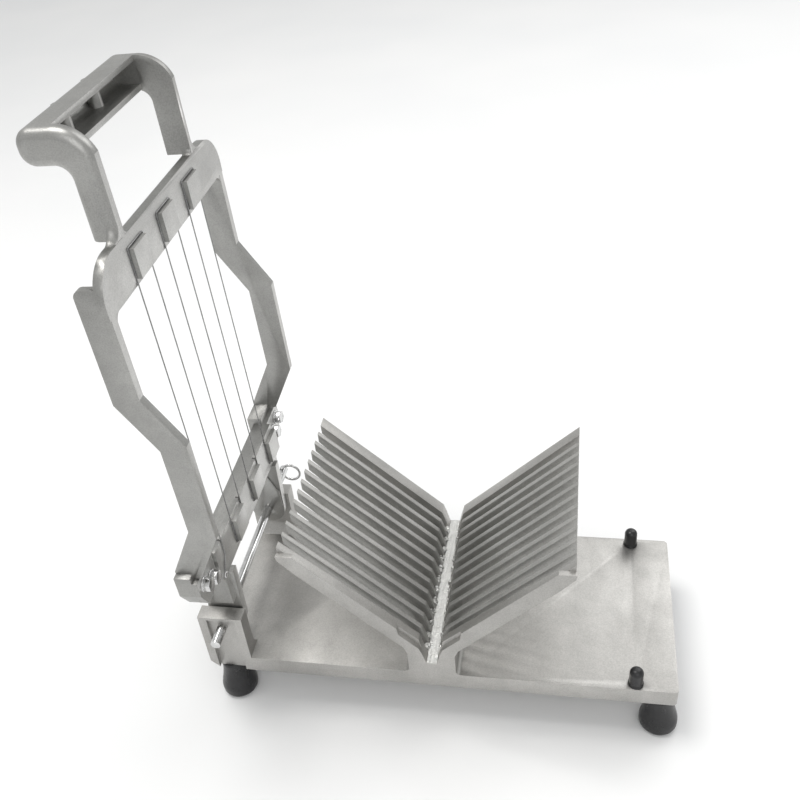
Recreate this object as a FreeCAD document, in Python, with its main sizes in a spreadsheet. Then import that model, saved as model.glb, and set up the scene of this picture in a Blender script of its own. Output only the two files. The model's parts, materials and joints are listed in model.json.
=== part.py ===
"""Egg slicer: a cast base with a V-shaped slotted cradle, and a hinged cutting frame strung with wire.

Row frame: +Z up, the floor under the feet is z = 0, +X runs away from the hinge, +Y away from the
front. The cutting frame is stored open, leaning back a little past upright.
"""
import FreeCAD, Part
import math
import os
import re
import Sketcher

Vector = FreeCAD.Vector

# Driving dimensions, in millimetres and degrees.
SIZES = {
    # base plate, with the V's centre plane at cradle_centre
    "cradle_centre": 8.45, "base_left": 150.2, "base_right": 151.3, "base_depth": 128.0,
    "base_thick": 12.4, "base_corner": 3.0,
    # feet and their screws
    "foot_height": 31.0, "foot_left": 138.5, "foot_right": 142.1, "foot_side": 54.7,
    "foot_neck": 8.2, "foot_neck_rise": 25.0, "foot_flange": 12.0, "foot_flange_low": 4.0,
    "foot_flange_top": 7.0, "foot_sole": 9.0, "foot_round": 5.0, "foot_waist_round": 30.0,
    "screw_radius": 2.5, "screw_head": 4.5, "screw_head_rise": 8.0, "screw_head_top": 11.0,
    "screw_depth": 9.0,
    # pedestal and channel
    "pedestal_half": 15.0, "pedestal_fillet": 3.0, "channel_floor": 9.5, "channel_half": 3.4,
    "channel_knee": 5.8, "channel_knee_rise": 19.0, "channel_lip": 7.5, "channel_lip_rise": 25.0,
    # wings of the cradle
    "wing_half": 87.3, "wing_tip_rise": 102.0, "end_wall_top": 20.0, "end_wall_tip_rise": 103.0,
    "wing_under": 6.2, "wing_fillet_run": 2.34, "wing_fillet_drop": 3.31, "wing_toe": 76.9,
    "wing_toe_rise": 95.0,
    "fin_thick": 3.4, "slot_pitch": 9.525, "wall_inner": 55.4, "wall_step": 60.5, "apron_top": 21.0,
    "apron_low": 16.0, "apron_step": 20.0, "apron_cut": 77.5, "apron_half": 88.0,
    # hinge lugs and hinge rod
    "lug_left": 150.2, "lug_right": 120.8, "lug_inner": 54.0, "lug_height": 37.5, "lug_chamfer": 6.0,
    "lug_strip": 5.5, "lug_flange": 2.5, "lug_recess": 2.5, "lug_gusset": 5.3, "lug_gusset_rise": 8.5,
    "hinge_left": 135.4, "hinge_rise": 28.0, "rod_radius": 3.175, "rod_clearance": 0.05,
    "rod_front": 77.0, "rod_back": 91.5,
    # pull ring
    "ring_y": 87.5, "ring_radius": 7.0, "ring_wire": 1.0, "ring_hole": 1.6, "ring_shift": 6.62,
    # rest stops for the closed frame
    "stop_x": 125.7, "stop_y": 59.2, "stop_post": 2.5, "stop_post_depth": 8.0, "stop_post_rise": 10.0,
    "stop_rise": 13.7, "stop_cap": 4.3, "stop_rim": 4.8, "stop_rim_rise": 1.6, "stop_dome": 3.6,
    # cutting frame, in its own directions: out from its front face, across, and up from the hinge
    "lean": 1.67, "front": 11.0, "back": 5.0,
    # side arms
    "arm_inner": 79.0, "arm_web": 83.0, "arm_outer": 84.0, "arm_flange_deep": 4.0, "arm_crank": 17.0,
    "crank_low": 70.0, "crank_low_end": 103.0, "crank_high": 170.0, "crank_high_end": 200.0,
    "arm_offset_low": 3.9, "arm_offset_high": 4.2, "arm_top": 263.0, "arm_round": 4.5,
    # clamped feet of the arms, and the tabs in front of them
    "tab_inner": 62.0, "tab_outer": 87.0, "tab_shoulder": 57.0, "tab_tip": 80.0, "tab_tip_inner": 74.0,
    "tab_tip_rise": 44.0, "tab_inner_rise": 51.0, "tab_thick": 3.5, "foot_front": 5.0,
    # lower bar and hinge ears
    "low_bar_under": 42.0, "low_bar_top": 68.0, "low_bar_back": 1.0, "low_boss_under": 47.0,
    "low_boss_top": 64.0, "boss_rise": 3.0, "boss_gap": 1.2, "notch_wide": 1.0, "notch_deep": 3.0,
    "notch_run": 2.5,
    "ear_inner": 47.0, "ear_outer": 53.0, "ear_round": 12.5, "ear_back": 4.0, "ear_front": 14.0,
    "ear_cheek": 59.0, "ear_cheek_under": 19.5, "rib_thick": 1.0, "rib_wide": 2.2,
    # upper bar
    "bar_half": 85.0, "bar_shoulder": 65.0, "bar_under": 247.0, "bar_top": 273.5, "bar_thick": 5.0,
    "bar_tip_rise": 253.0, "bar_tip_round": 20.3, "high_boss_under": 250.0, "high_boss_top": 266.5,
    # handle
    "handle_inner": 48.0, "handle_outer": 55.5, "handle_back": 3.5, "handle_bend": 316.0,
    "handle_bend_round": 19.0, "grip_front": 8.0, "grip_back": 26.0, "grip_top": 329.5,
    "grip_under": 311.0, "grip_round": 8.0, "grip_wall": 3.0, "grip_crook": 7.0, "handle_round": 5.0,
    "post_place": 17.0, "post_radius": 3.8, "post_centre": 19.8,
    # clamp bolts and their washers
    "bolt_high_y": 79.5, "bolt_high_r": 60.5, "bolt_low_y": 69.5, "bolt_low_r": 55.5, "bolt_radius": 2.5,
    "bolt_flats": 8.0, "bolt_head": 4.0, "bolt_short": 1.0, "bolt_clearance": 0.1,
    "washer_radius": 5.0, "washer_thick": 1.0,
    # cutting wire
    "wire_radius": 0.35, "wire_first": 51.0, "wire_under": 65.5, "wire_top": 249.0, "wire_lift": 0.4,
    "turn_radius": 1.0, "turn_gap": 0.75, "tail_run": 8.0,
    # wire anchor screws
    "anchor_y": 57.5, "anchor_r": 44.6, "anchor_radius": 2.2, "anchor_head": 1.2, "anchor_depth": 6.0,
    "anchor_shank": 1.25, "anchor_gap": 0.05,
}
WIRES = 6
FINS = 11

# Heights and places that follow from the driving dimensions.
TOP = "(foot_height + base_thick)"
HINGE_X = "(cradle_centre - hinge_left)"
HINGE_Z = f"({TOP} + hinge_rise)"
WIRE_PITCH = "(2 * slot_pitch)"

doc = FreeCAD.newDocument("EggSlicer")
sheet = doc.addObject("Spreadsheet::Sheet", "Sizes")
for row, (alias, size) in enumerate(SIZES.items(), start=1):
    sheet.set(f"A{row}", alias)
    sheet.set(f"B{row}", str(size))
    sheet.setAlias(f"B{row}", alias)
doc.recompute()

nodes = []


def bound(text):
    """An expression with each size's name turned into a reference to the sheet."""
    return re.sub(r"[a-z][a-z_]*", lambda word: "Sizes." + word[0] if word[0] in SIZES else word[0], text)


def value(text):
    """What an expression comes to now."""
    return float(sheet.evalExpression(bound(text)))


def bind(thing, **sizes):
    """Bind an object's properties to expressions. A double underscore stands for a dot."""
    for name, text in sizes.items():
        thing.setExpression(name.replace("__", "."), bound(text))
    return thing


def place(thing, x="0", y="0", z="0"):
    """Bind an object's position to expressions."""
    return bind(thing, Placement__Base__x=x, Placement__Base__y=y, Placement__Base__z=z)


def hang(thing):
    """Put a piece made in the cutting frame's own directions on the hinge, leaning back."""
    thing.Placement = FreeCAD.Placement(Vector(), FreeCAD.Rotation(Vector(0, -1, 0), value("lean")))
    bind(thing, Placement__Rotation__Angle="lean")
    return place(thing, HINGE_X, "0", HINGE_Z)


def arc_middle(start, end, radius, turn):
    """The middle point of an arc of this radius, turning left (1) or right (-1) from start to end."""
    chord = end - start
    sagitta = radius - math.sqrt(radius ** 2 - (chord.Length / 2) ** 2)
    outward = Vector(chord.y, -chord.x, 0).normalize()
    return (start + end) / 2 + outward * (sagitta * turn)


class Piece:
    """A PartDesign body made of pads and pockets, each from an outline bound to the sheet."""

    normals = {"XY_Plane": 1, "YZ_Plane": 1, "XZ_Plane": -1}

    def __init__(self, label, on_frame=False):
        self.body = doc.addObject("PartDesign::Body", label)
        self.body.Label = label
        self.body.AllowCompound = True
        if on_frame:
            hang(self.body)
        nodes.append(self.body)

    def sketch(self, plane, height):
        """An empty sketch parallel to one of the body's own planes, at this height along its axis."""
        origin_plane = next(item for item in self.body.Origin.OriginFeatures if item.Role == plane)
        sketch = self.body.newObject("Sketcher::SketchObject", f"{self.body.Label}_outline")
        sketch.AttachmentSupport = [(origin_plane, "")]
        sketch.MapMode = "FlatFace"
        sign = "" if self.normals[plane] > 0 else "-1 * "
        bind(sketch, AttachmentOffset__Base__z=f"{sign}({height})")
        return sketch

    def outline(self, plane, height, corners):
        """A closed outline. A corner is (across, up), or (across, up, radius, turn) to start an arc."""
        sketch = self.sketch(plane, height)
        points = [Vector(value(corner[0]), value(corner[1]), 0) for corner in corners]
        ends = []
        for number, corner in enumerate(corners):
            start, end = points[number], points[(number + 1) % len(points)]
            if len(corner) == 2:
                edge = sketch.addGeometry(Part.LineSegment(start, end))
            else:
                middle = arc_middle(start, end, value(corner[2]), corner[3])
                edge = sketch.addGeometry(Part.Arc(start, middle, end))
                radius = sketch.addConstraint(Sketcher.Constraint("Radius", edge, value(corner[2])))
                sketch.setExpression(f"Constraints[{radius}]", bound(corner[2]))
            forward = sketch.getPoint(edge, 1).distanceToPoint(start) < 1e-6
            ends.append((edge, 1, 2) if forward else (edge, 2, 1))
        for number, (edge, first, last) in enumerate(ends):
            following = ends[(number + 1) % len(ends)]
            sketch.addConstraint(Sketcher.Constraint("Coincident", edge, last, following[0], following[1]))
            for kind, text in (("DistanceX", corners[number][0]), ("DistanceY", corners[number][1])):
                distance = Sketcher.Constraint(kind, -1, 1, edge, first, value(text))
                index = sketch.addConstraint(distance)
                sketch.setExpression(f"Constraints[{index}]", bound(text))
        return sketch

    def circle(self, plane, height, across, up, radius):
        """A circle at (across, up)."""
        sketch = self.sketch(plane, height)
        centre = Vector(value(across), value(up), 0)
        sketch.addGeometry(Part.Circle(centre, Vector(0, 0, 1), value(radius)))
        rules = (("DistanceX", (-1, 1, 0, 3), across), ("DistanceY", (-1, 1, 0, 3), up))
        for kind, places, text in rules:
            index = sketch.addConstraint(Sketcher.Constraint(kind, *places, value(text)))
            sketch.setExpression(f"Constraints[{index}]", bound(text))
        index = sketch.addConstraint(Sketcher.Constraint("Radius", 0, value(radius)))
        sketch.setExpression(f"Constraints[{index}]", bound(radius))
        return sketch

    def pad(self, plane, corners, low, high):
        """Add a prism between two heights along the plane's axis."""
        start = low if self.normals[plane] > 0 else high
        feature = self.body.newObject("PartDesign::Pad", f"{self.body.Label}_pad")
        feature.Profile = self.outline(plane, start, corners)
        bind(feature, Length=f"({high}) - ({low})")
        doc.recompute()
        return feature

    def cut(self, sketch, low, high):
        """Take away a prism, from the sketch at the far height back to the near one."""
        before = self.body.Shape.Volume
        feature = self.body.newObject("PartDesign::Pocket", f"{self.body.Label}_pocket")
        feature.Profile = sketch
        bind(feature, Length=f"({high}) - ({low})")
        doc.recompute()
        if self.body.Shape.Volume > before - 1e-3:
            raise RuntimeError(f"{self.body.Label}: {feature.Name} cuts nothing")
        return feature

    def pocket(self, plane, corners, low, high):
        """Take away a prism between two heights along the plane's axis."""
        start = high if self.normals[plane] > 0 else low
        return self.cut(self.outline(plane, start, corners), low, high)

    def bore(self, plane, across, up, radius, low, high):
        """Take away a cylinder between two heights along the plane's axis."""
        start = high if self.normals[plane] > 0 else low
        return self.cut(self.circle(plane, start, across, up, radius), low, high)

    def revolve(self, corners):
        """A full turn of an outline in (radius, height) about the body's vertical axis."""
        profile = self.outline("XZ_Plane", "0", corners)
        feature = self.body.newObject("PartDesign::Revolution", f"{self.body.Label}_turned")
        feature.Profile = profile
        feature.ReferenceAxis = (profile, ["V_Axis"])
        feature.Angle = 360
        doc.recompute()
        return feature

    def fillet(self, radius, test):
        """Round the edges of the last feature whose middle point passes the test."""
        tip = self.body.Tip
        edges = [f"Edge{number}" for number, edge in enumerate(tip.Shape.Edges, start=1)
                 if test(edge.valueAt((edge.FirstParameter + edge.LastParameter) / 2), edge)]
        feature = self.body.newObject("PartDesign::Fillet", f"{self.body.Label}_fillet")
        feature.Base = (tip, edges)
        bind(feature, Radius=radius)
        doc.recompute()
        return feature

    def repeat_along_depth(self, feature, length, count):
        """Repeat a feature at even steps along Y."""
        pattern = self.body.newObject("PartDesign::LinearPattern", f"{self.body.Label}_row")
        pattern.Originals = [feature]
        pattern.Direction = (feature.Profile[0], ["N_Axis"])
        pattern.Reversed = True
        bind(pattern, Length=length)
        pattern.Occurrences = count
        self.body.Tip = pattern
        doc.recompute()
        return pattern


def cylinder(radius, height, x="0", y="0", z="0", along=None):
    """A Part cylinder that starts at (x, y, z) and runs up Z, or along X or Y."""
    solid = doc.addObject("Part::Cylinder", "Cylinder")
    bind(solid, Radius=radius, Height=height)
    turn_onto(solid, along)
    return place(solid, x, y, z)


def hexagon(flats, height, x, y, z, along=None):
    """A hexagonal Part prism, from its width across flats."""
    solid = doc.addObject("Part::Prism", "Hexagon")
    solid.Polygon = 6
    bind(solid, Circumradius=f"({flats}) / sqrt(3)", Height=height)
    turn_onto(solid, along)
    return place(solid, x, y, z)


def turn_onto(solid, along):
    """Turn a solid made along Z onto X or Y."""
    turns = {"X": FreeCAD.Rotation(Vector(0, 1, 0), 90), "Y": FreeCAD.Rotation(Vector(1, 0, 0), -90)}
    if along:
        solid.Placement = FreeCAD.Placement(Vector(), turns[along])


def joined(*solids):
    """The union of some solids."""
    union = doc.addObject("Part::MultiFuse", "Union")
    union.Shapes = list(solids)
    return union


def without(solid, tool):
    """One solid less another."""
    rest = doc.addObject("Part::Cut", "Cut")
    rest.Base = solid
    rest.Tool = tool
    return rest


def group(label, solids, on_frame=False):
    """One node that holds several separate solids."""
    compound = doc.addObject("Part::Compound", label)
    compound.Label = label
    compound.Links = solids
    if on_frame:
        hang(compound)
    nodes.append(compound)
    return compound


def rectangle(left, right, low, high):
    """The corners of a rectangle, anticlockwise."""
    return [(left, low), (right, low), (right, high), (left, high)]


def facing(side, corners):
    """Mirror an outline's first coordinate when side is -1, keeping it anticlockwise."""
    if side > 0:
        return corners
    mirrored = []
    for number in range(len(corners) - 1, -1, -1):
        across, up = corners[number][:2]
        arc = corners[number - 1][2:]
        mirrored.append((f"-1 * ({across})", up, *arc))
    return mirrored


def about_centre(corners):
    """Measure an outline's first coordinate from the V's centre plane."""
    return [(f"cradle_centre + ({corner[0]})", *corner[1:]) for corner in corners]


# Base ------------------------------------------------------------------------------------------

def make_base_plate():
    """The flat plate, with blind holes for the foot screws below and the stop posts above."""
    plate = Piece("base_plate")
    left, right = "cradle_centre - base_left", "cradle_centre + base_right"
    plate.pad("XY_Plane", rectangle(left, right, "-base_depth / 2", "base_depth / 2"), "foot_height", TOP)
    plate.fillet("base_corner", lambda middle, edge: middle.x > 0 and upright(edge))
    strip = f"{left} + lug_strip", "cradle_centre - lug_right - lug_strip"
    chamfer = [(left, "foot_height"), (f"{left} + lug_chamfer", "foot_height"),
               (left, "foot_height + lug_chamfer")]
    for side in (-1, 1):
        plate.pocket("XZ_Plane", rectangle(*strip, "foot_height", TOP),
                     *depth_range(side, "base_depth / 2 - lug_recess", "base_depth / 2"))
        plate.pocket("XZ_Plane", chamfer, *depth_range(side, "lug_inner", "base_depth / 2"))
    for x, y in foot_places():
        plate.bore("XY_Plane", x, y, "screw_radius", "foot_height", "foot_height + screw_depth")
    for side in (-1, 1):
        plate.bore("XY_Plane", "cradle_centre + stop_x", f"{side} * stop_y", "stop_post",
                   f"{TOP} - stop_post_depth", TOP)


def upright(edge):
    """Whether an edge is vertical."""
    return abs(edge.tangentAt(edge.FirstParameter).z) > 0.9


def foot_places():
    """The four feet's centres, front left first."""
    return [(f"cradle_centre {x}", f"{y} * foot_side") for x in ("- foot_left", "+ foot_right")
            for y in (-1, 1)]


def make_feet():
    """Four bell-shaped rubber feet, each with a bore and a counterbore for its screw."""
    names = ("foot_front_left", "foot_back_left", "foot_front_right", "foot_back_right")
    section = [
        ("screw_radius", "screw_head_top"), ("screw_head", "screw_head_top"), ("screw_head", "0"),
        ("foot_sole", "0", "foot_round", 1), ("foot_flange", "foot_flange_low"),
        ("foot_flange", "foot_flange_top", "foot_waist_round", -1), ("foot_neck", "foot_neck_rise"),
        ("foot_neck", "foot_height"),
        ("screw_radius", "foot_height"),
    ]
    for name, (x, y) in zip(names, foot_places()):
        foot = Piece(name)
        foot.revolve(section)
        place(foot.body, x, y, "0")


def make_foot_screws():
    """The screws that hold the feet, from below into the base plate."""
    screws = []
    for x, y in foot_places():
        head = cylinder("screw_head - 0.2", "screw_head_top - screw_head_rise", x, y, "screw_head_rise")
        length = "foot_height + screw_depth - screw_head_top - 0.5"
        shank = cylinder("screw_radius - 0.02", length, x, y, "screw_head_top")
        screws.append(joined(head, shank))
    group("foot_screws", screws)


def make_pedestal():
    """The block along the middle that carries the V, with a small fillet onto the plate."""
    pedestal = Piece("cradle_pedestal")
    half, foot = "pedestal_half", "(pedestal_half + pedestal_fillet)"
    corners = [
        (f"-{foot}", TOP), (foot, TOP, "pedestal_fillet", -1), (half, f"{TOP} + pedestal_fillet"),
        (half, f"{TOP} + channel_floor"), (f"-{half}", f"{TOP} + channel_floor"),
        (f"-{half}", f"{TOP} + pedestal_fillet", "pedestal_fillet", -1),
    ]
    pedestal.pad("XZ_Plane", about_centre(corners), "-base_depth / 2", "base_depth / 2")


def wing_underside():
    """The underside and the outer end of a wing, from its rounded toe in to the pedestal."""
    return [
        ("wing_half", f"{TOP} + wing_toe_rise"),
        ("wing_toe", f"{TOP} + wing_toe + wing_under"),
        ("pedestal_half + wing_fillet_run", f"{TOP} + pedestal_half + wing_under + wing_fillet_run"),
        ("pedestal_half", f"{TOP} + pedestal_half + wing_under - wing_fillet_drop"),
        ("pedestal_half", f"{TOP} + channel_floor"),
    ]


def anticlockwise(corners):
    """Reverse an outline that was listed clockwise."""
    return list(reversed(corners))


def wing_outline(lip_rise, tip_rise):
    """One wing of the V, seen from the front, with its upper edge between two heights."""
    return anticlockwise([
        ("channel_half", f"{TOP} + channel_floor"),
        ("channel_knee", f"{TOP} + channel_knee_rise"),
        ("channel_lip", f"{TOP} + {lip_rise}"),
        ("wing_half", f"{TOP} + {tip_rise}"),
        *wing_underside(),
    ])


def apron_outline():
    """The front layer of the front wall: cut off level outside, and stepped down beside the channel."""
    return anticlockwise([
        ("channel_half", f"{TOP} + channel_floor"),
        ("channel_knee", f"{TOP} + channel_knee_rise"),
        ("channel_lip", f"{TOP} + channel_lip + apron_low"),
        ("apron_step - 1", f"{TOP} + apron_step - 1 + apron_low"),
        ("apron_step", f"{TOP} + apron_step + apron_top"),
        ("apron_cut", f"{TOP} + apron_cut + apron_top"),
        ("apron_half", f"{TOP} + apron_cut + apron_top"),
        *wing_underside(),
    ])


def make_fins():
    """The thin inner walls of the V, one node for each side."""
    for side, name in ((-1, "cradle_left_fins"), (1, "cradle_right_fins")):
        fins = Piece(name)
        reach = f"{(FINS - 1) // 2} * slot_pitch"
        fin = wing_outline("channel_lip_rise", "wing_tip_rise")
        first = fins.pad("XZ_Plane", about_centre(facing(side, fin)),
                         f"-{reach} - fin_thick / 2", f"-{reach} + fin_thick / 2")
        fins.repeat_along_depth(first, f"2 * {reach}", FINS)


def make_end_walls():
    """The thicker walls at the front and back of the V, each as a left and a right wing."""
    front = Piece("cradle_front_wall")
    back = Piece("cradle_back_wall")
    for side in (-1, 1):
        tall = wing_outline("(channel_lip + end_wall_top)", "end_wall_tip_rise")
        wing = about_centre(facing(side, wing_outline("channel_lip_rise", "wing_tip_rise")))
        front.pad("XZ_Plane", about_centre(facing(side, tall)), "-wall_step", "-wall_inner")
        front.pad("XZ_Plane", about_centre(facing(side, apron_outline())), "-base_depth / 2", "-wall_step")
        back.pad("XZ_Plane", wing, "wall_inner", "base_depth / 2")


def make_lugs():
    """The two upright lugs that carry the hinge rod, hollowed on the outside and footed inside."""
    left, right = "cradle_centre - lug_left", "cradle_centre - lug_right"
    for side, name in ((-1, "lug_front"), (1, "lug_back")):
        lug = Piece(name)
        low, high = depth_range(side, "lug_inner", "base_depth / 2")
        lug.pad("XZ_Plane", rectangle(left, right, TOP, f"{TOP} + lug_height"), low, high)
        hollow = rectangle(f"{left} + lug_strip", f"{right} - lug_strip", TOP,
                           f"{TOP} + lug_height - lug_flange")
        low, high = depth_range(side, "base_depth / 2 - lug_recess", "base_depth / 2")
        lug.pocket("XZ_Plane", hollow, low, high)
        inner = "lug_inner"
        gusset = [
            (inner, TOP), (inner, f"{TOP} + lug_gusset_rise", "2 * lug_gusset_rise", -1),
            (f"{inner} - lug_gusset", TOP),
        ]
        if side < 0:
            gusset = [
                (f"-{inner} + lug_gusset", TOP, "2 * lug_gusset_rise", -1),
                (f"-{inner}", f"{TOP} + lug_gusset_rise"), (f"-{inner}", TOP),
            ]
        lug.pad("YZ_Plane", gusset, f"{left} + lug_chamfer", right)
        low, high = depth_range(side, "lug_inner", "base_depth / 2")
        lug.bore("XZ_Plane", HINGE_X, HINGE_Z, "rod_radius + rod_clearance", low, high)


def depth_range(side, inner, outer):
    """The low and the high end along Y of a piece at the front (-1) or at the back (1)."""
    return (f"-({outer})", f"-({inner})") if side < 0 else (inner, outer)


def make_stops():
    """Two capped posts that the closed cutting frame rests on."""
    posts = []
    for side, name in ((-1, "stop_cap_front"), (1, "stop_cap_back")):
        x, y = "cradle_centre + stop_x", f"{side} * stop_y"
        posts.append(cylinder("stop_post - 0.02", "stop_post_depth + stop_post_rise - 0.2", x, y,
                              f"{TOP} - stop_post_depth + 0.1"))
        cap = Piece(name)
        cap.revolve([
            ("stop_post", "0"), ("stop_rim", "0"), ("stop_rim", "stop_rim_rise"),
            ("stop_cap", "stop_rim_rise + 1.2"),
            ("stop_cap", "stop_rise - stop_dome", "stop_dome", 1),
            ("stop_cap - stop_dome", "stop_rise"), ("0", "stop_rise"),
            ("0", "stop_post_rise"), ("stop_post", "stop_post_rise"),
        ])
        place(cap.body, x, y, TOP)
    group("stop_posts", posts)


# Hinge -----------------------------------------------------------------------------------------

def make_hinge_pin():
    """The long plain rod, cross-drilled near its far end."""
    rod = cylinder("rod_radius", "rod_front + rod_back", HINGE_X, "-rod_front", HINGE_Z, along="Y")
    drill = cylinder("ring_hole", "4 * rod_radius", HINGE_X, "ring_y", f"{HINGE_Z} - 2 * rod_radius")
    pin = without(rod, drill)
    pin.Label = "hinge_pin"
    nodes.append(pin)


def make_pull_ring():
    """The wire ring that goes through the rod's cross hole."""
    ring = doc.addObject("Part::Torus", "pull_ring")
    ring.Label = "pull_ring"
    bind(ring, Radius1="ring_radius", Radius2="ring_wire")
    ring.Placement = FreeCAD.Placement(Vector(), FreeCAD.Rotation(Vector(1, 0, 0), 90))
    place(ring, f"{HINGE_X} + ring_shift", "ring_y", HINGE_Z)
    nodes.append(ring)


# Cutting frame: outlines are in (out, up) or (across, up) of the frame itself ---------------------

def arm_edge(inset):
    """An arm's front edge from the bottom up, moved back by an inset."""
    crank = f"front + arm_crank - ({inset})"
    plain = f"front - ({inset})"
    return [
        (plain, "crank_low"), (crank, "crank_low_end"), (crank, "crank_high"),
        (plain, "crank_high_end"), (plain, "bar_under"),
    ]


def make_side_arms():
    """The cranked arms. A flat foot at the bottom of each one is clamped behind the lower bar."""
    back_crank = "arm_crank - back"
    back_edge = [
        ("-back", "crank_high_end - arm_offset_high"), (back_crank, "crank_high - arm_offset_high"),
        (back_crank, "crank_low_end + arm_offset_low"), ("-back", "crank_low + arm_offset_low"),
    ]
    for side, name in ((-1, "side_arm_front"), (1, "side_arm_back")):
        arm = Piece(name, on_frame=True)
        web = [
            ("-back", "low_bar_top"), ("foot_front", "low_bar_top"), ("foot_front", "crank_low"),
            *arm_edge("0"), ("front - bar_thick", "bar_under"), ("front - bar_thick", "arm_top"),
            ("arm_round - back", "arm_top", "arm_round", 1), ("-back", "arm_top - arm_round"), *back_edge,
        ]
        arm.pad("XZ_Plane", web, *depth_range(side, "arm_inner", "arm_web"))
        flange = arm_edge("0") + list(reversed(arm_edge("arm_flange_deep")))
        arm.pad("XZ_Plane", flange, *depth_range(side, "arm_web", "arm_outer"))
        arm.pad("YZ_Plane", facing(side, tab_outline("crank_low + 2")), "-back", "foot_front")
        for across, up in bolt_places(side):
            arm.bore("YZ_Plane", across, up, "bolt_radius + bolt_clearance", "bolt_short - back",
                     "foot_front")


def tab_outline(top):
    """The pointed outline shared by an arm's foot and the tab in front of it."""
    return [
        ("tab_inner", "tab_inner_rise"), ("tab_tip_inner", "tab_tip_rise"), ("tab_tip", "tab_tip_rise"),
        ("tab_outer", "tab_shoulder"), ("tab_outer", top), ("tab_inner", top),
    ]


def bolt_places(side):
    """The two clamp bolts of one side."""
    return [(f"{side} * bolt_high_y", "bolt_high_r"), (f"{side} * bolt_low_y", "bolt_low_r")]


def wire_y(number):
    """Where one of the wire's straight spans is across the frame, counted from the front."""
    return f"{number} * {WIRE_PITCH} - wire_first"


def make_lower_bar():
    """The bar that carries the wire's lower bosses, with a tab at each end for the clamp bolts."""
    bar = Piece("lower_bar", on_frame=True)
    body = rectangle("-tab_inner", "tab_inner", "low_bar_under", "low_bar_top")
    bar.pad("YZ_Plane", body, "-low_bar_back", "front")
    for number in (1, 3, 5):
        bar.pad("YZ_Plane", boss_outline(number, "low_boss_under", "low_boss_top"),
                "front", "front + boss_rise")
    for side in (-1, 1):
        bar.pad("YZ_Plane", facing(side, tab_outline("low_bar_top")),
                "foot_front", "foot_front + tab_thick")
        for across, up in bolt_places(side):
            bar.bore("YZ_Plane", across, up, "bolt_radius + bolt_clearance",
                     "foot_front", "foot_front + tab_thick")
        bar.bore("YZ_Plane", f"{side} * anchor_y", "anchor_r", "anchor_shank",
                 "front - anchor_depth", "front")
    for number in (0, 2, 4):
        notch = rectangle(f"{wire_y(number)} - notch_wide / 2", f"{wire_y(number)} + notch_wide / 2",
                          "low_bar_top - notch_deep", "low_bar_top")
        bar.pocket("YZ_Plane", notch, "front - notch_run", "front")


def boss_outline(number, low, high):
    """A boss that fills the space between one wire span and the next."""
    return rectangle(f"{wire_y(number)} + boss_gap", f"{wire_y(number + 1)} - boss_gap", low, high)


def make_hinge_ears():
    """The ears under the lower bar that turn on the rod, each with a raised rib on its inner face."""
    profile = [
        ("-ear_back", "low_bar_under"), ("-ear_round", "0", "ear_round + 0.02", 1), ("ear_round", "0"),
        ("ear_front", "low_bar_under"),
    ]
    rib = [
        ("ear_round - rib_wide", "4"), ("ear_round - 0.5", "4"), ("ear_round - 0.5", "18.5"),
        ("6", "32"), ("4.2", "30.5"), ("ear_round - rib_wide", "17.5"),
    ]
    for side, name in ((-1, "hinge_ear_front"), (1, "hinge_ear_back")):
        ear = Piece(name, on_frame=True)
        ear.pad("XZ_Plane", profile, *depth_range(side, "ear_inner", "ear_outer"))
        cheek = rectangle("-low_bar_back", "front", "ear_cheek_under", "low_bar_under")
        ear.pad("XZ_Plane", cheek, *depth_range(side, "ear_outer", "ear_cheek"))
        ear.pad("XZ_Plane", rib, *depth_range(side, "ear_inner - rib_thick", "ear_inner"))
        ear.bore("XZ_Plane", "0", "0", "rod_radius + rod_clearance",
                 *depth_range(side, "ear_inner", "ear_outer"))


def make_upper_bar():
    """The bar at the top of the wires, with three bosses and three notches in its lower edge."""
    bar = Piece("upper_bar", on_frame=True)
    plate = [
        ("-bar_half", "bar_under"), ("bar_half", "bar_under"),
        ("bar_half", "bar_tip_rise", "bar_tip_round", 1), ("bar_shoulder", "bar_top"),
        ("-bar_shoulder", "bar_top", "bar_tip_round", 1), ("-bar_half", "bar_tip_rise"),
    ]
    bar.pad("YZ_Plane", plate, "front - bar_thick", "front")
    for number in (0, 2, 4):
        bar.pad("YZ_Plane", boss_outline(number, "high_boss_under", "high_boss_top"),
                "front", "front + boss_rise")
    for number in (1, 3, 5):
        notch = rectangle(f"{wire_y(number)} - notch_wide / 2", f"{wire_y(number)} + notch_wide / 2",
                          "bar_under", "bar_under + notch_deep")
        bar.pocket("YZ_Plane", notch, "front - notch_run", "front")


def grip_back_edge():
    """The rounded back of the grip, from its top round to its underside."""
    return [
        ("-grip_back + grip_round", "grip_top", "grip_round", 1),
        ("-grip_back", "grip_top - grip_round"),
        ("-grip_back", "grip_under + grip_round", "grip_round", 1),
    ]


def on_outer_face(middle, edge, outer, foot):
    """Whether an edge of a handle arm bounds its outer face, apart from the one at its foot."""
    flat = abs(abs(middle.y) - outer) < 1e-3 and abs(abs(edge.Vertexes[0].Y) - outer) < 1e-3
    return flat and middle.z > foot + 1


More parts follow.
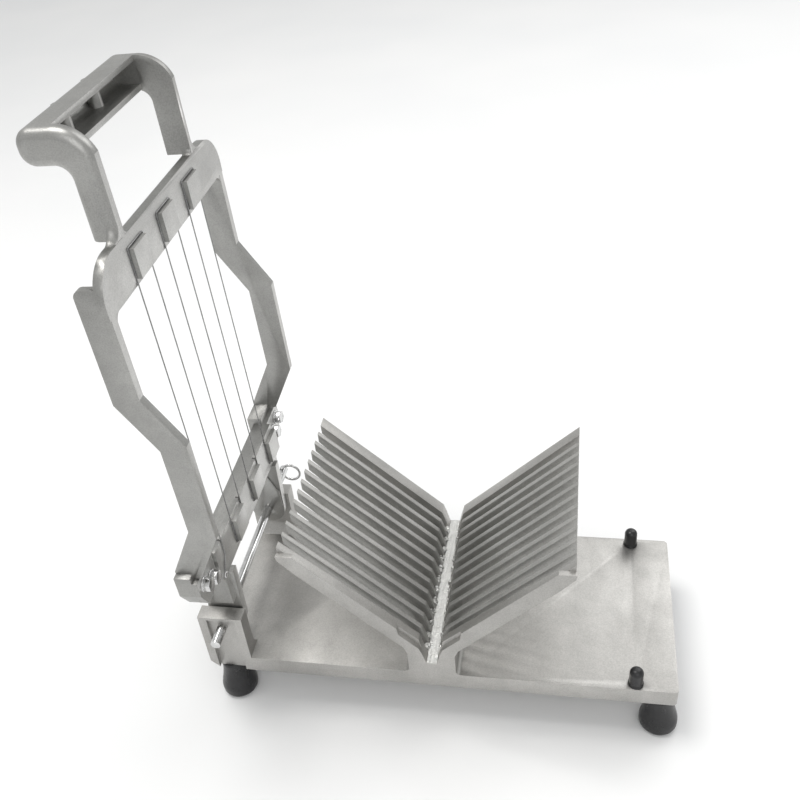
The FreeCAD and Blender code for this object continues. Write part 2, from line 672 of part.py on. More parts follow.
def make_handle_arms():
    """The two arms that carry the grip. Each one's top closes an end of the grip."""
    profile = [
        ("-handle_back", "bar_top"), ("front", "bar_top"),
        ("front", "handle_bend", "handle_bend_round", 1), ("-grip_front", "grip_top"),
        *grip_back_edge(),
        ("-grip_back + grip_round", "grip_under"),
        ("-handle_back - grip_crook", "grip_under", "grip_crook", -1),
        ("-handle_back", "grip_under - grip_crook"),
    ]
    arm = Piece("handle_arm_front", on_frame=True)
    arm.pad("XZ_Plane", profile, *depth_range(-1, "handle_inner", "handle_outer"))
    outer, foot = value("handle_outer"), value("bar_top")
    arm.fillet("handle_round", lambda middle, edge: on_outer_face(middle, edge, outer, foot))
    far_arm = doc.addObject("Part::Mirroring", "handle_arm_back")
    far_arm.Label = "handle_arm_back"
    far_arm.Source = arm.body
    far_arm.Normal = Vector(0, 1, 0)
    nodes.append(far_arm)


def make_handle_grip():
    """The grip: a channel with a rounded back, open at the front, stiffened by two posts."""
    grip = Piece("handle_grip", on_frame=True)
    inner_round = "grip_round - grip_wall"
    section = [
        ("-grip_front", "grip_top - grip_wall"), ("-grip_front", "grip_top"), *grip_back_edge(),
        ("-grip_back + grip_round", "grip_under"), ("-grip_front", "grip_under"),
        ("-grip_front", "grip_under + grip_wall"),
        ("-grip_back + grip_round", "grip_under + grip_wall", inner_round, -1),
        ("-grip_back + grip_wall", "grip_under + grip_round"),
        ("-grip_back + grip_wall", "grip_top - grip_round", inner_round, -1),
        ("-grip_back + grip_round", "grip_top - grip_wall"),
    ]
    grip.pad("XZ_Plane", section, "-handle_inner", "handle_inner")
    for side in (-1, 1):
        post = grip.circle("XY_Plane", "grip_under + grip_wall / 2", "-post_centre",
                           f"{side} * post_place", "post_radius")
        feature = grip.body.newObject("PartDesign::Pad", "handle_grip_post")
        feature.Profile = post
        bind(feature, Length="grip_top - grip_under - grip_wall")
        doc.recompute()


def make_clamp_fasteners():
    """The bolts and washers that clamp the arms' feet behind the lower bar."""
    bolts, washers = [], []
    seat = "(foot_front + tab_thick)"
    for side in (-1, 1):
        for across, up in bolt_places(side):
            head = hexagon("bolt_flats", "bolt_head", f"{seat} + washer_thick", across, up, along="X")
            length = f"{seat} + back + washer_thick - bolt_short"
            bolts.append(joined(head, cylinder("bolt_radius", length, "bolt_short - back", across, up,
                                               along="X")))
            disc = cylinder("washer_radius", "washer_thick", seat, across, up, along="X")
            hole = cylinder("bolt_radius + bolt_clearance", "washer_thick", seat, across, up, along="X")
            washers.append(without(disc, hole))
    group("clamp_bolts", bolts, on_frame=True)
    group("clamp_washers", washers, on_frame=True)


def make_wires():
    """The six straight spans of the cutting wire."""
    spans = [cylinder("wire_radius", "wire_top - wire_under", "front + wire_lift", wire_y(number),
                      "wire_under") for number in range(WIRES)]
    group("cutting_wires", spans, on_frame=True)


def bent_wire(places):
    """A tube along straight runs between (across, up) places, with its corners rounded."""
    lift, bend = value("front + wire_lift"), value("turn_radius")
    corners = [Vector(lift, value(across), value(up)) for across, up in places]
    edges = []
    reached = corners[0]
    for before, corner, after in zip(corners, corners[1:], corners[2:]):
        back, onward = (before - corner).normalize(), (after - corner).normalize()
        half = back.getAngle(onward) / 2
        start, end = corner + back * (bend / math.tan(half)), corner + onward * (bend / math.tan(half))
        towards = (back + onward).normalize()
        middle = corner + towards * (bend / math.sin(half) - bend)
        edges.append(Part.LineSegment(reached, start).toShape())
        edges.append(Part.Arc(start, middle, end).toShape())
        reached = end
    edges.append(Part.LineSegment(reached, corners[-1]).toShape())
    section = Part.Wire(Part.Circle(corners[0], Vector(0, 0, 1), value("wire_radius")).toShape())
    return Part.Wire(edges).makePipeShell([section], True, True)


def turn_round_boss(number, near, far):
    """The wire's way round the far side of a boss, from one span to the next."""
    left, right = wire_y(number), wire_y(number + 1)
    return bent_wire([(left, near), (left, far), (right, far), (right, near)])


def make_wire_turns():
    """The wire's turns round its bosses, and its two tails out to the anchor screws."""
    turns = [turn_round_boss(number, "wire_top", "high_boss_top + turn_gap") for number in (0, 2, 4)]
    turns += [turn_round_boss(number, "wire_under", "low_boss_under - turn_gap") for number in (1, 3)]
    reach = "(anchor_radius + wire_radius + anchor_gap)"
    first, last = wire_y(0), wire_y(WIRES - 1)
    turns.append(bent_wire([(first, "wire_under"), (first, "low_boss_top - tail_run"),
                            ("-anchor_y", f"anchor_r + {reach}")]))
    turns.append(bent_wire([(last, "wire_under"), (last, "low_boss_under - turn_gap"),
                            (f"anchor_y - {reach}", "anchor_r")]))
    feature = doc.addObject("Part::Feature", "wire_turns")
    feature.Label = "wire_turns"
    feature.Shape = Part.makeCompound(turns)
    hang(feature)
    nodes.append(feature)


def make_anchor_screws():
    """The screws that hold the two ends of the wire."""
    screws = []
    for side in (-1, 1):
        across = f"{side} * anchor_y"
        head = cylinder("anchor_radius", "anchor_head", "front", across, "anchor_r", along="X")
        shank = cylinder("anchor_shank - 0.02", "anchor_depth - 0.2", "front - anchor_depth + 0.2",
                         across, "anchor_r", along="X")
        screws.append(joined(head, shank))
    group("anchor_screws", screws, on_frame=True)


def check_document():
    """Stop if anything failed to recompute, or if a node has no valid shape."""
    for item in doc.Objects:
        if "Invalid" in item.State or "Error" in item.State:
            raise RuntimeError(f"{item.Label}: {item.State}")
    for node in nodes:
        if node.Shape.isNull() or not node.Shape.isValid() or not node.Shape.Solids:
            raise RuntimeError(f"{node.Label} has no valid shape")


make_base_plate()
make_feet()
make_foot_screws()
make_pedestal()
make_fins()
make_end_walls()
make_lugs()
make_stops()
make_hinge_pin()
make_pull_ring()
make_side_arms()
make_lower_bar()
make_hinge_ears()
make_upper_bar()
make_handle_arms()
make_handle_grip()
make_clamp_fasteners()
make_wires()
make_wire_turns()
make_anchor_screws()
doc.recompute()
check_document()

os.makedirs("parts", exist_ok=True)
for node in nodes:
    node.Shape.exportStep(os.path.join("parts", f"{node.Label}.step"))
    print(node.Label, len(node.Shape.Solids), round(node.Shape.Volume))
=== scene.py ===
"""Looks of the egg slicer: cast, sand-blasted aluminium, polished steel fittings and black rubber.

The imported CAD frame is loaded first. Detailed meshes then stand for its nodes, on the same bodies.
Lengths are in millimetres, and MM turns them into metres. Places of lights and camera are in metres.
"""
import json
import math
import random

import bmesh
import bpy
from mathutils import Matrix, Vector


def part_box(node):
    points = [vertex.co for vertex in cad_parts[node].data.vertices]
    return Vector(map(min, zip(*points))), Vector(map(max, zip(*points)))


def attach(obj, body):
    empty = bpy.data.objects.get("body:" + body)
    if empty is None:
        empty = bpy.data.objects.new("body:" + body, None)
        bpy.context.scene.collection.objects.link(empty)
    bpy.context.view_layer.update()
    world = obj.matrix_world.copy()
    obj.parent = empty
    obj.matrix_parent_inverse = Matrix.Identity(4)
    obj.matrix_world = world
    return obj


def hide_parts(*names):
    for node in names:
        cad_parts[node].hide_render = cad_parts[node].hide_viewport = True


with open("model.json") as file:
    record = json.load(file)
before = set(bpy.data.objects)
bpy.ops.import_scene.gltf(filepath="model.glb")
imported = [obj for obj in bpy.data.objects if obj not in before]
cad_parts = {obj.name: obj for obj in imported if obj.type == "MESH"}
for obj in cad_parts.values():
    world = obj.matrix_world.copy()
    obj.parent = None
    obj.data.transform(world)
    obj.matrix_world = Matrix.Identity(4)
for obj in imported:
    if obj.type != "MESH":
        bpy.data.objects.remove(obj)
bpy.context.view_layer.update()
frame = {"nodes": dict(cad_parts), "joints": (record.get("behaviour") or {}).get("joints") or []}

MM = 0.001

# Clean-up of meshes taken from the frame: points this close are one, faces this flat are one.
WELD = 0.002 * MM
FLAT_ANGLE = math.radians(0.6)

# Angles in degrees over which an edge is rounded, and over which shading stays sharp.
ROUNDED_OVER = 28
SHARP_OVER = 35

# Cutting frame: its lean at rest, and the edges that its cast fillets lie against.
LEAN = math.radians(1.67)
BAR_BACK = 6.0
BAR_UNDER = 247.0
BAR_TOP = 273.5
ARM_INNER = 79.0
HANDLE_INNER = 48.0
HANDLE_OUTER = 55.5
HANDLE_ROUND = 5.0
FILLET_BACK = 6.2
FILLET_FRONT = 10.8
FILLET_SINK = 0.1
FILLET_SKIRT = 0.6
# Faces that look this nearly out of the frame's front get the lighter cast metal, which is painted light.
PAINTED_LIGHT_FACING = 0.95

# Channel between the two halves of the cradle, its cut floor, and the burrs at each slot.
CHANNEL_HALF = 3.3
SLOT_PITCH = 9.525
FINS = 11
STRIP_COLUMNS = 10
STRIP_ROWS = 260
STRIP_END_GAP = 0.2
STRIP_RISE = 0.25
STRIP_RIPPLE = 0.22
STRIP_SINK = 0.1
BURR_SEED = 4
BURRS = 13
BURR_SMALLEST = 0.5
BURR_SPREAD = 0.85
BURR_LENGTH = 1.5
BURR_HEIGHT = 0.8

# Camera: above and in front of the slicer, a little turned and tilted.
CAMERA_PLACE = (0.09055, -0.4292, 0.5440)
CAMERA_YAW = math.radians(-13.0)
CAMERA_PITCH = math.radians(36.97)
CAMERA_ROLL = math.radians(-6.118)
CAMERA_LENS = 42.476
CAMERA_SENSOR = 36.0

# Lights: name, place, target, side, power and colour.
LIGHTS = (
    ("key", (-0.5, 0.1, 1.7), (0, 0, 0.15), 0.7, 12, (1.0, 0.99, 0.97)),
    ("back", (0.85, 1.3, 1.45), (0.1, 0, 0.05), 1.3, 10, (1, 1, 1)),
    ("front", (0.5, -1.5, 1.3), (0, 0, 0.0), 1.4, 7, (1, 1, 1)),
)


# Meshes ---------------------------------------------------------------------------------------

def linked(name, data):
    """A new object for a mesh, camera or light, in the scene."""
    piece = bpy.data.objects.new(name, data)
    bpy.context.scene.collection.objects.link(piece)
    return piece


def piece_from(working, name):
    """A new object from a finished bmesh."""
    mesh = bpy.data.meshes.new(name)
    working.to_mesh(mesh)
    working.free()
    return linked(name, mesh)


def clean(working):
    """Weld a bmesh's doubled points, and make its flat faces whole."""
    bmesh.ops.remove_doubles(working, verts=working.verts, dist=WELD)
    bmesh.ops.dissolve_limit(working, angle_limit=FLAT_ANGLE, verts=working.verts,
                             edges=working.edges, use_dissolve_boundaries=False)


def copy_of(node, name):
    """A clean copy of a CAD node's mesh."""
    working = bmesh.new()
    working.from_mesh(frame["nodes"][node].data)
    clean(working)
    return piece_from(working, name)


def apply_modifiers(piece):
    """Work an object's modifiers into its mesh."""
    bpy.context.view_layer.update()
    evaluated = piece.evaluated_get(bpy.context.evaluated_depsgraph_get())
    mesh = bpy.data.meshes.new_from_object(evaluated)
    piece.modifiers.clear()
    old = piece.data
    piece.data = mesh
    bpy.data.meshes.remove(old)


def smooth(piece, sharp_over=SHARP_OVER):
    """Smooth shading, kept sharp over an angle in degrees."""
    piece.data.shade_smooth()
    piece.data.set_sharp_from_angle(angle=math.radians(sharp_over))


def eased(piece, width, segments=2, rounded_over=ROUNDED_OVER):
    """Round every edge sharper than an angle in degrees."""
    bevel = piece.modifiers.new("edges", "BEVEL")
    bevel.width = width
    bevel.segments = segments
    bevel.limit_method = "ANGLE"
    bevel.angle_limit = math.radians(rounded_over)
    bevel.use_clamp_overlap = True
    apply_modifiers(piece)
    smooth(piece)
    return piece


def united(name, nodes, extra=()):
    """The union of some CAD nodes, and of some extra closed pieces, as one closed mesh."""
    first, *others = [copy_of(node, f"{name}_{node}") for node in nodes]
    for other in [*others, *extra]:
        union = first.modifiers.new("union", "BOOLEAN")
        union.operation = "UNION"
        union.solver = "EXACT"
        union.object = other
        apply_modifiers(first)
        bpy.data.objects.remove(other)
    whole = bmesh.new()
    whole.from_mesh(first.data)
    clean(whole)
    whole.to_mesh(first.data)
    whole.free()
    first.name = name
    return first


def lathe(name, profile, steps):
    """A closed turned solid round Z, from its outline in (radius, height)."""
    turned = bmesh.new()
    rings = []
    for radius, height in profile:
        if radius == 0:
            rings.append([turned.verts.new((0, 0, height * MM))])
            continue
        ring = []
        for step in range(steps):
            angle = 2 * math.pi * step / steps
            ring.append(turned.verts.new((radius * MM * math.cos(angle), radius * MM * math.sin(angle),
                                          height * MM)))
        rings.append(ring)
    for low, high in zip(rings, rings[1:] + rings[:1]):
        if len(low) == 1 and len(high) == 1:
            continue
        for step in range(steps):
            after = (step + 1) % steps
            if len(low) == 1:
                turned.faces.new((low[0], high[after], high[step]))
            elif len(high) == 1:
                turned.faces.new((low[step], low[after], high[0]))
            else:
                turned.faces.new((low[step], low[after], high[after], high[step]))
    bmesh.ops.recalc_face_normals(turned, faces=turned.faces)
    piece = piece_from(turned, name)
    smooth(piece, 40)
    return piece


def corner(centre, radius, start, end, steps):
    """Points round a profile's corner, from one angle to another in degrees."""
    points = []
    for step in range(steps + 1):
        angle = math.radians(start + (end - start) * step / steps)
        points.append((centre[0] + radius * math.cos(angle), centre[1] + radius * math.sin(angle)))
    return points


def middle_and_low(node):
    """The middle of a node's box, and the height of its underside."""
    low, high = (Vector(end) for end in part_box(node))
    return (low + high) / 2, low.z


def stand(piece, x, y, z):
    """Move a piece's mesh to its place for good."""
    piece.data.transform(Matrix.Translation((x, y, z)))


# Materials ------------------------------------------------------------------------------------

class Material:
    """A node material with its principled shader, and short ways to add nodes."""

    def __init__(self, name):
        self.material = bpy.data.materials.new(name)
        self.material.use_nodes = True
        self.tree = self.material.node_tree
        self.shader = self.tree.nodes["Principled BSDF"]
        self.coords = self.tree.nodes.new("ShaderNodeTexCoord").outputs["Object"]

    def set(self, **values):
        """Set plain values on the shader. An underscore stands for a space."""
        for name, value in values.items():
            self.shader.inputs[name.replace("_", " ")].default_value = value

    def link(self, source, target):
        """Join an output to an input."""
        self.tree.links.new(source, target)

    def shade(self, **sources):
        """Feed the shader's inputs from nodes. An underscore stands for a space."""
        for name, source in sources.items():
            self.link(source, self.shader.inputs[name.replace("_", " ")])

    def stretched(self, scale):
        """The object's own coordinates, scaled along each axis."""
        mapping = self.tree.nodes.new("ShaderNodeMapping")
        mapping.inputs["Scale"].default_value = scale
        self.link(self.coords, mapping.inputs["Vector"])
        return mapping.outputs["Vector"]

    def noise(self, scale, detail, roughness, vector=None, distortion=0.0):
        """A noise value between 0 and 1."""
        noise = self.tree.nodes.new("ShaderNodeTexNoise")
        noise.inputs["Scale"].default_value = scale
        noise.inputs["Detail"].default_value = detail
        noise.inputs["Roughness"].default_value = roughness
        noise.inputs["Distortion"].default_value = distortion
        self.link(vector or self.coords, noise.inputs["Vector"])
        return noise.outputs["Fac"]

    def ramp(self, source, stops):
        """Map a value to colours. A stop is (position, colour or grey)."""
        ramp = self.tree.nodes.new("ShaderNodeValToRGB")
        elements = ramp.color_ramp.elements
        for element, (position, colour) in zip(elements, stops):
            element.position = position
            grey = isinstance(colour, (int, float))
            element.color = (colour, colour, colour, 1) if grey else (*colour, 1)
        self.link(source, ramp.inputs["Fac"])
        return ramp.outputs["Color"]

    def blend(self, first, second, factor, kind="MIX"):
        """Two colours mixed by a factor."""
        mix = self.tree.nodes.new("ShaderNodeMix")
        mix.data_type = "RGBA"
        mix.blend_type = kind
        mix.inputs[0].default_value = factor
        self.link(first, mix.inputs[6])
        self.link(second, mix.inputs[7])
        return mix.outputs[2]

    def bump(self, height, distance, strength, below=None):
        """A normal from a height, laid over another one if it is given."""
        bump = self.tree.nodes.new("ShaderNodeBump")
        bump.inputs["Strength"].default_value = strength
        bump.inputs["Distance"].default_value = distance
        self.link(height, bump.inputs["Height"])
        if below:
            self.link(below, bump.inputs["Normal"])
        return bump.outputs["Normal"]


def cast_aluminium(name, dark, light, rough, grain=0.035):
    """Sand-blasted cast aluminium: fine grain, cloudy handling marks and a few faint scratches."""
    made = Material(name)
    rough_low, rough_high = rough
    made.set(Metallic=0.92)
    clouds = made.noise(14.0, 5.0, 0.6, distortion=0.4)
    stains = made.noise(55.0, 4.0, 0.65)
    colour = made.blend(made.ramp(clouds, [(0.30, dark), (0.68, light)]),
                        made.ramp(stains, [(0.28, 0.80), (0.60, 1.0)]), 0.55, "MULTIPLY")
    speckle = made.noise(1300.0, 2.0, 0.7)
    colour = made.blend(colour, made.ramp(speckle, [(0.32, 0.70), (0.62, 1.0)]), 0.6, "MULTIPLY")
    marks = made.noise(240.0, 6.0, 0.7, made.stretched((1.0, 0.12, 1.0)))
    roughness = made.blend(made.ramp(clouds, [(0.25, rough_high), (0.75, rough_low)]),
                           made.ramp(marks, [(0.35, rough_low), (0.70, rough_high)]), 0.45)
    sand = made.noise(1900.0, 3.0, 0.7)
    dimples = made.noise(420.0, 3.0, 0.6)
    normal = made.bump(sand, grain * MM, 0.8)
    normal = made.bump(dimples, 1.6 * grain * MM, 0.5, normal)
    made.shade(Base_Color=colour, Roughness=roughness, Normal=normal)
    return made.material


def machined_aluminium():
    """Freshly cut aluminium with fine tool marks along the cuts."""
    made = Material("machined_aluminium")
    made.set(Metallic=1.0)
    marks = made.noise(900.0, 4.0, 0.6, made.stretched((1.0, 0.06, 0.06)))
    broad = made.noise(40.0, 4.0, 0.6)
    colour = made.blend(made.ramp(marks, [(0.30, (0.52, 0.52, 0.505)), (0.70, (0.72, 0.72, 0.70))]),
                        made.ramp(broad, [(0.30, 0.86), (0.65, 1.0)]), 0.5, "MULTIPLY")
    made.shade(Base_Color=colour, Roughness=made.ramp(marks, [(0.3, 0.34), (0.7, 0.50)]),
               Normal=made.bump(marks, 0.02 * MM, 0.7))
    return made.material


def polished_steel(name, rough=(0.10, 0.26), grey=(0.56, 0.74), stretch=(1.0, 1.0, 1.0)):
    """Bright stainless steel with hairline polishing marks."""
    made = Material(name)
    made.set(Metallic=1.0)
    marks = made.noise(1400.0, 4.0, 0.6, made.stretched(stretch))
    broad = made.noise(90.0, 3.0, 0.6)
    made.shade(Base_Color=made.ramp(broad, [(0.3, grey[0]), (0.7, grey[1])]),
               Roughness=made.ramp(marks, [(0.3, rough[0]), (0.7, rough[1])]),
               Normal=made.bump(marks, 0.006 * MM, 0.6))
    return made.material


def black_rubber():
    """Moulded rubber with a slight satin sheen, a fine grain and a little dust."""
    made = Material("black_rubber")
    made.set(Metallic=0.0, Specular_IOR_Level=0.55)
    dust = made.noise(130.0, 5.0, 0.7)
    grain = made.noise(1500.0, 3.0, 0.6)
    made.shade(Base_Color=made.ramp(dust, [(0.45, (0.004, 0.004, 0.005)), (0.85, (0.016, 0.016, 0.018))]),
               Roughness=made.ramp(dust, [(0.35, 0.24), (0.70, 0.42)]),
               Normal=made.bump(grain, 0.02 * MM, 0.5))
    return made.material


def pale_floor():
    """A plain pale table top."""
    made = Material("pale_floor")
    made.set(Roughness=0.55, Specular_IOR_Level=0.3)
    tone = made.noise(3.0, 2.0, 0.5)
    made.shade(Base_Color=made.ramp(tone, [(0.3, (0.86, 0.865, 0.87)), (0.7, (0.90, 0.90, 0.90))]))
    return made.material


BASE_METAL = cast_aluminium("cast_base", (0.43, 0.421, 0.405), (0.55, 0.54, 0.52), (0.38, 0.53))
FIN_METAL = cast_aluminium("cast_fins", (0.42, 0.416, 0.400), (0.54, 0.535, 0.517), (0.44, 0.60))
FRAME_METAL = cast_aluminium("cast_frame", (0.335, 0.333, 0.321), (0.435, 0.432, 0.418), (0.32, 0.48))
# Lighter copies of the cast metal, with a finer grain, for the faces that look out of the front of the
# cutting frame: their lighter tone is painted light, lighter still on the lower casting.
PAINTED_LIGHT_FACE_METAL = cast_aluminium("painted_light_face", (0.55, 0.544, 0.53), (0.66, 0.655, 0.64), (0.36, 0.50),
                            grain=0.02)
PAINTED_LIGHT_LOW_FACE_METAL = cast_aluminium("painted_light_low_face", (0.64, 0.634, 0.62), (0.76, 0.755, 0.74),
                                (0.36, 0.50), grain=0.02)
MACHINED = machined_aluminium()
STEEL = polished_steel("polished_steel")
ROD_STEEL = polished_steel("rod_steel", rough=(0.08, 0.20), stretch=(1.0, 0.08, 1.0))
WIRE_STEEL = polished_steel("wire_steel", rough=(0.20, 0.35), grey=(0.20, 0.32))
RUBBER = black_rubber()


def finish_piece(piece, material, body, nodes=()):
    """Give a piece its material, its body and the nodes it stands for."""
    piece.data.materials.clear()
    piece.data.materials.append(material)
    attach(piece, body)
    if nodes:
        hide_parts(*nodes)


def dress(node, material):
    """Give a carried-over CAD node a better material."""
    part = frame["nodes"][node]
    for slot in part.material_slots:
        slot.material = material
    smooth(part, 30)


# Base -----------------------------------------------------------------------------------------

def make_base():
    """The base casting: plate, pedestal, end walls and lugs in one, and the thin walls of the V."""
    nodes = ["base_plate", "cradle_pedestal", "cradle_front_wall", "cradle_back_wall", "lug_front",
             "lug_back"]
    casting = eased(united("base_casting", nodes), 0.7 * MM, 3)
    finish_piece(casting, BASE_METAL, "base", nodes)
    for side in ("left", "right"):
        node = f"cradle_{side}_fins"
        fins = eased(copy_of(node, f"fins_{side}"), 0.35 * MM)
        finish_piece(fins, FIN_METAL, "base", [node])


def add_strip(cut, middle, floor, half_long, chance):
    """Add the rippled floor of the channel, as a thin closed slab."""
    half_wide = CHANNEL_HALF * MM
    grid = []
    for row in range(STRIP_ROWS + 1):
        y = -half_long + 2 * half_long * row / STRIP_ROWS
        grid.append([cut.verts.new((middle - half_wide + 2 * half_wide * column / STRIP_COLUMNS, y,
                                    floor + (STRIP_RISE + STRIP_RIPPLE * chance.random()) * MM))
                     for column in range(STRIP_COLUMNS + 1)])
    for row in range(STRIP_ROWS):
        for column in range(STRIP_COLUMNS):
            cut.faces.new((grid[row][column], grid[row][column + 1], grid[row + 1][column + 1],
                           grid[row + 1][column]))
    rim = [edge for edge in cut.edges if edge.is_boundary]
    walls = bmesh.ops.extrude_edge_only(cut, edges=rim)["geom"]
    for item in walls:
        if isinstance(item, bmesh.types.BMVert):
            item.co.z = floor - STRIP_SINK * MM
    bmesh.ops.contextual_create(cut, geom=[edge for edge in cut.edges if edge.is_boundary])


def add_burrs(cut, middle, floor, y, side, chance):
    """Add the torn lumps beside the channel at one side of a slot."""
    for _ in range(BURRS):
        size = (BURR_SMALLEST + BURR_SPREAD * chance.random()) * MM
        place = Vector((middle + side * (CHANNEL_HALF + 0.2 + 2.4 * chance.random()) * MM,
                        y + (chance.random() - 0.5) * 5.2 * MM,
                        floor + (0.4 + 1.9 * chance.random()) * MM))
        turn = Matrix.Rotation(6.28 * chance.random(), 4, Vector((chance.random(), 1, 0.5)))
        scale = Matrix.Diagonal((size * BURR_LENGTH, size, size * BURR_HEIGHT, 1))
        bmesh.ops.create_icosphere(cut, subdivisions=1, radius=1.0,
                                   matrix=Matrix.Translation(place) @ turn @ scale)


def make_channel():
    """The bright cut floor of the channel, and the burrs that the saw left beside it at each slot."""
    low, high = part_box("cradle_pedestal")
    middle = (low[0] + high[0]) / 2
    floor = high[2]
    chance = random.Random(BURR_SEED)
    cut = bmesh.new()
    add_strip(cut, middle, floor, high[1] - STRIP_END_GAP * MM, chance)
    for number in range(FINS + 1):
        y = (number - FINS / 2) * SLOT_PITCH * MM
        for side in (-1, 1):
            add_burrs(cut, middle, floor, y, side, chance)
    bmesh.ops.recalc_face_normals(cut, faces=cut.faces)
    finish_piece(piece_from(cut, "channel_cut"), MACHINED, "base")


def make_feet():
    """Bell-shaped rubber feet with a screw hole from below."""
    hole = [(2.5, 11.0), (4.5, 11.0), (4.5, 0.4), (4.9, 0.0), (8.2, 0.0)]
    sole = [*corner((8.4, 3.6), 3.6, -88, 0, 8), (12.0, 4.2), (12.0, 6.6)]
    waist = [(11.82, 8.0), (11.3, 10.2), (10.55, 13.0), (9.8, 16.0), (9.15, 19.0), (8.65, 22.0),
             (8.35, 25.0)]
    neck = [(8.2, 27.5), (8.2, 30.4), (7.7, 31.0), (2.5, 31.0)]
    for place in ("front_left", "back_left", "front_right", "back_right"):
        node = f"foot_{place}"
        middle, _ = middle_and_low(node)
        foot = lathe(f"rubber_foot_{place}", hole + sole + waist + neck, 72)
        stand(foot, middle.x, middle.y, 0)
        finish_piece(foot, RUBBER, "base", [node])


def make_stop_caps():
    """Domed rubber caps on the posts that the closed frame rests on."""
    rim = [(2.5, 0.0), (4.55, 0.0), (4.8, 0.25), (4.8, 1.35), (4.6, 1.65), (4.35, 2.2)]
    side_wall = [(4.3, 3.0), (4.3, 10.1)]
    dome = [*corner((0.9, 10.3), 3.4, 4, 88, 9), (0.5, 13.7), (0.0, 13.7)]
    socket = [(0.0, 10.0), (2.5, 10.0)]
    for side in ("front", "back"):
        node = f"stop_cap_{side}"
        middle, low = middle_and_low(node)
        cap = lathe(f"rubber_cap_{side}", rim + side_wall + dome + socket, 56)
        stand(cap, middle.x, middle.y, low)
        finish_piece(cap, RUBBER, "base", [node])


# Cutting frame --------------------------------------------------------------------------------

def frame_to_row(out, across, up):
    """A place in the cutting frame's own directions, in millimetres, as a place in the row frame."""
    hinge = next(joint for joint in frame["joints"] if joint["name"] == "frame_hinge")
    return Vector(hinge["pos_m"]) + MM * Vector((out * math.cos(LEAN) - up * math.sin(LEAN), across,
                                                 out * math.sin(LEAN) + up * math.cos(LEAN)))


def loft(name, sections):
    """A closed solid on the cutting frame through (out, outline) sections, outlines in (across, up)."""
    made = bmesh.new()
    rings = [[made.verts.new(frame_to_row(out, across, up)) for across, up in outline]
             for out, outline in sections]
    made.faces.new(rings[0])
    made.faces.new(rings[-1])
    for near, far in zip(rings, rings[1:]):
        for number in range(len(near)):
            after = (number + 1) % len(near)
            made.faces.new((near[number], near[after], far[after], far[number]))
    bmesh.ops.recalc_face_normals(made, faces=made.faces)
    return piece_from(made, name)


def inside_corner(across, up, side_across, side_up, radius, steps=8):
    """The outline of a cast fillet in the corner at (across, up), opening towards the two sides."""
    centre = (across + side_across * radius, up + side_up * radius)
    buried = (across - FILLET_SKIRT * side_across, up - FILLET_SKIRT * side_up)
    outline = [buried, (centre[0], buried[1])]
    for step in range(steps + 1):
        angle = math.pi / 2 * step / steps
        outline.append((centre[0] - side_across * radius * math.sin(angle),
                        centre[1] - side_up * radius * math.cos(angle)))
    outline.append((buried[0], centre[1]))
    return outline


def frame_fillets():
    """The fillets between handle and upper bar, and between upper bar and side arms."""
    top = BAR_TOP - FILLET_SINK
    inner_corners = ((HANDLE_INNER + FILLET_SINK, top, 1, 4.0),
                     (ARM_INNER + FILLET_SINK, BAR_UNDER + FILLET_SINK, -1, 6.0))
    fillets = []
    for side in (-1, 1):
        outer = []
        for out in (FILLET_BACK, 7.5, 8.6, 9.4, 10.0, 10.5, FILLET_FRONT):
            rounding = math.sqrt(HANDLE_ROUND ** 2 - (out - BAR_BACK) ** 2)
            across = HANDLE_OUTER - HANDLE_ROUND + rounding
            outer.append((out, inside_corner(side * (across - FILLET_SINK), top, side, 1, 8.0)))
        fillets.append(loft("fillet", outer))
        for across, up, side_up, radius in inner_corners:
            outline = inside_corner(side * across, up, -side, side_up, radius)
            fillets.append(loft("fillet", [(FILLET_BACK, outline), (FILLET_FRONT, outline)]))
    return fillets


def paint_light_on_front(piece, material):
    """Give the faces that look out of the front of the cutting frame a lighter material of their own, as
    painted light.
    """
    piece.data.materials.append(material)
    out = Vector((math.cos(LEAN), 0, math.sin(LEAN)))
    for face in piece.data.polygons:
        if face.normal.dot(out) > PAINTED_LIGHT_FACING:
            face.material_index = 1


def make_frame():
    """The two castings of the cutting frame, with their cast fillets."""
    nodes = ["upper_bar", "side_arm_front", "side_arm_back", "handle_arm_front", "handle_arm_back",
             "handle_grip"]
    upper = eased(united("frame_casting", nodes, frame_fillets()), 0.6 * MM)
    finish_piece(upper, FRAME_METAL, "cutting_frame", nodes)
    # The faces that look out of the front are painted lighter: painted light.
    paint_light_on_front(upper, PAINTED_LIGHT_FACE_METAL)
    nodes = ["lower_bar", "hinge_ear_front", "hinge_ear_back"]
    lower = eased(united("lower_casting", nodes), 0.45 * MM)
    finish_piece(lower, FRAME_METAL, "cutting_frame", nodes)
    # Here too the front faces are painted lighter, as painted light.
    paint_light_on_front(lower, PAINTED_LIGHT_LOW_FACE_METAL)


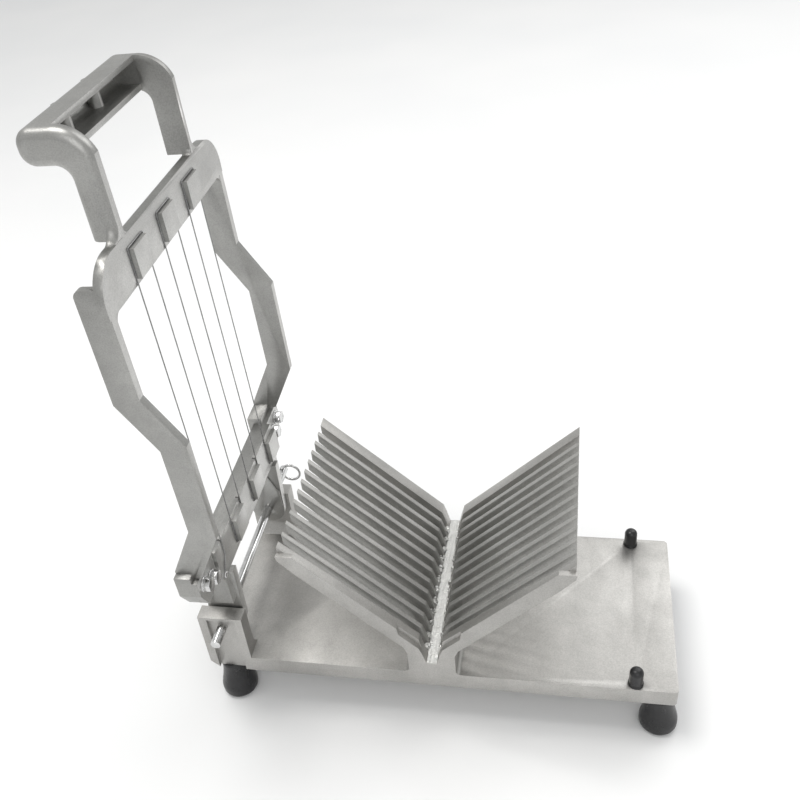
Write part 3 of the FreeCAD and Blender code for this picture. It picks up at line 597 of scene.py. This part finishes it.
def make_fittings():
    """Bolts, washers, screws, hinge rod, pull ring and wire."""
    for node in ("clamp_bolts", "clamp_washers", "anchor_screws"):
        piece = eased(copy_of(node, f"steel_{node}"), 0.3 * MM)
        finish_piece(piece, STEEL, "cutting_frame", [node])
    rod = eased(copy_of("hinge_pin", "hinge_rod"), 0.4 * MM, rounded_over=50)
    finish_piece(rod, ROD_STEEL, "hinge_pin", ["hinge_pin"])
    for node in ("pull_ring", "foot_screws", "stop_posts"):
        dress(node, STEEL)
    for node in ("cutting_wires", "wire_turns"):
        dress(node, WIRE_STEEL)


# Stage ----------------------------------------------------------------------------------------

def make_camera():
    """The camera, turned by its yaw and pitch and then rolled about its own line of sight."""
    forward = Vector((math.sin(CAMERA_YAW) * math.cos(CAMERA_PITCH),
                      math.cos(CAMERA_YAW) * math.cos(CAMERA_PITCH), -math.sin(CAMERA_PITCH)))
    level = Vector((math.cos(CAMERA_YAW), -math.sin(CAMERA_YAW), 0))
    raised = level.cross(forward)
    right = math.cos(CAMERA_ROLL) * level + math.sin(CAMERA_ROLL) * raised
    up = -math.sin(CAMERA_ROLL) * level + math.cos(CAMERA_ROLL) * raised
    data = bpy.data.cameras.new("camera")
    data.lens = CAMERA_LENS
    data.sensor_width = CAMERA_SENSOR
    camera = linked("camera", data)
    turn = Matrix((right, up, -forward)).transposed().to_4x4()
    camera.matrix_world = Matrix.Translation(CAMERA_PLACE) @ turn
    bpy.context.scene.camera = camera


def area_light(name, place, target, side, power, colour):
    """A soft square light that faces a point."""
    data = bpy.data.lights.new(name, "AREA")
    data.shape = "SQUARE"
    data.size = side
    data.energy = power
    data.color = colour
    light = linked(name, data)
    light.location = place
    light.rotation_euler = (Vector(target) - Vector(place)).to_track_quat("-Z", "Y").to_euler()


def make_stage():
    """Pale floor and plain soft studio light."""
    bpy.ops.mesh.primitive_plane_add(size=8, location=(0, 0, 0))
    floor = bpy.context.object
    floor.name = "floor"
    floor.data.materials.append(pale_floor())
    world = bpy.data.worlds.new("studio")
    world.use_nodes = True
    background = world.node_tree.nodes["Background"]
    background.inputs["Color"].default_value = (0.97, 0.975, 0.97, 1)
    background.inputs["Strength"].default_value = 0.70
    bpy.context.scene.world = world
    for light in LIGHTS:
        area_light(*light)
    bpy.context.scene.view_settings.view_transform = "Standard"


make_camera()
make_base()
make_channel()
make_feet()
make_stop_caps()
make_frame()
make_fittings()
make_stage()
